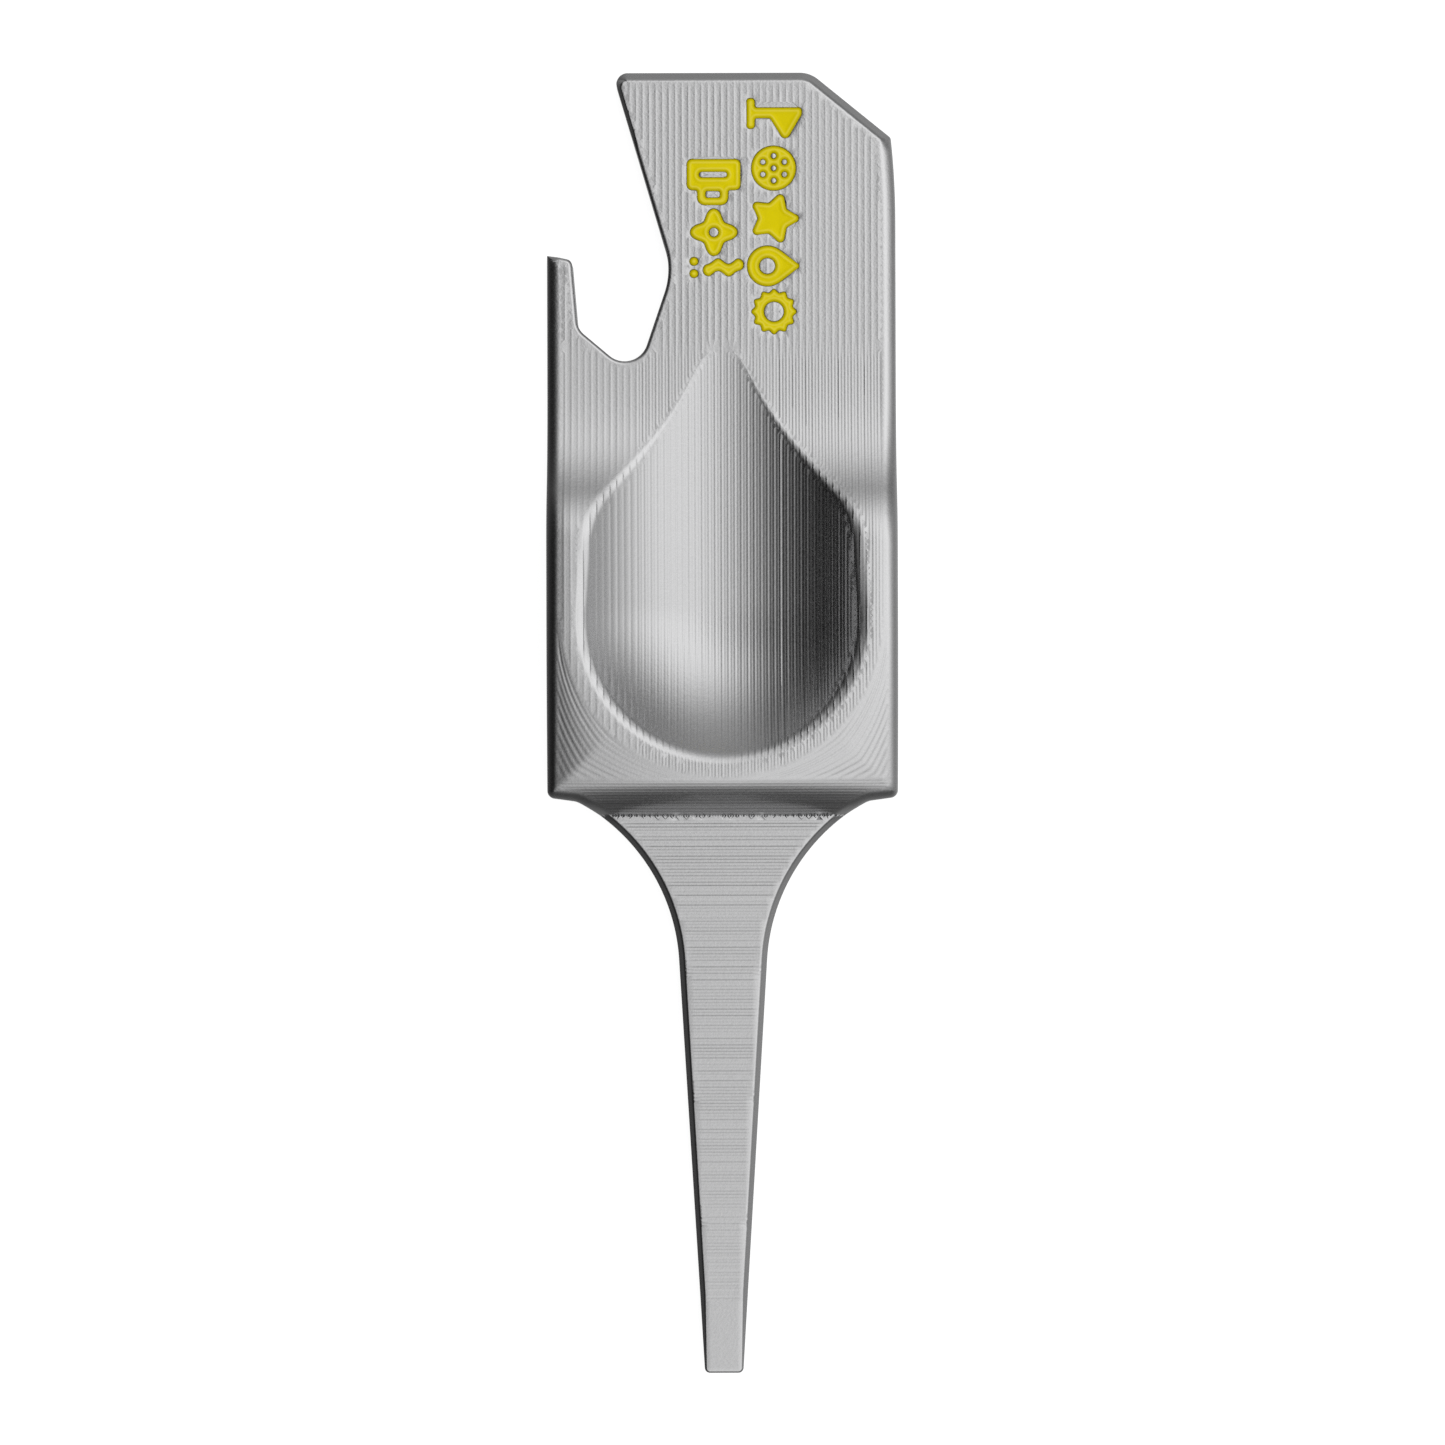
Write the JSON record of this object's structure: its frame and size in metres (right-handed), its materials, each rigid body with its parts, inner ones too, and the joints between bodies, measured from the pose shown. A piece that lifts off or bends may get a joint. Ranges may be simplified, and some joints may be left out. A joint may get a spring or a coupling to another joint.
{
  "type": "divot repair tool",
  "caption": "Milled golf divot repair tool with a tapered prong, a teardrop thumb dish, a hooked bottle opener and enamel-filled motifs in the head.",
  "frame": {"origin": "middle of the flat back's bounding box, on the surface the tool lies on", "axes": "+Y along the tool from the prong's tip to the head, +Z out of the front face, +X away from the opener's hook"},
  "size_m": [0.0268, 0.1, 0.0066],
  "materials": {
    "milled_steel": "fine bead blast over visible milling lines, satin",
    "yellow_enamel": "glossy cured enamel, slightly hollow on top"
  },
  "bodies": {
    "root": {"tool_body": "milled_steel", "flag_fill": "yellow_enamel", "ball_fill": "yellow_enamel", "star_fill": "yellow_enamel", "drop_fill": "yellow_enamel", "cap_fill": "yellow_enamel", "mug_fill": "yellow_enamel", "clover_fill": "yellow_enamel", "wave_fill": "yellow_enamel", "upper_dot_fill": "yellow_enamel", "lower_dot_fill": "yellow_enamel"}
  },
  "joints": []
}
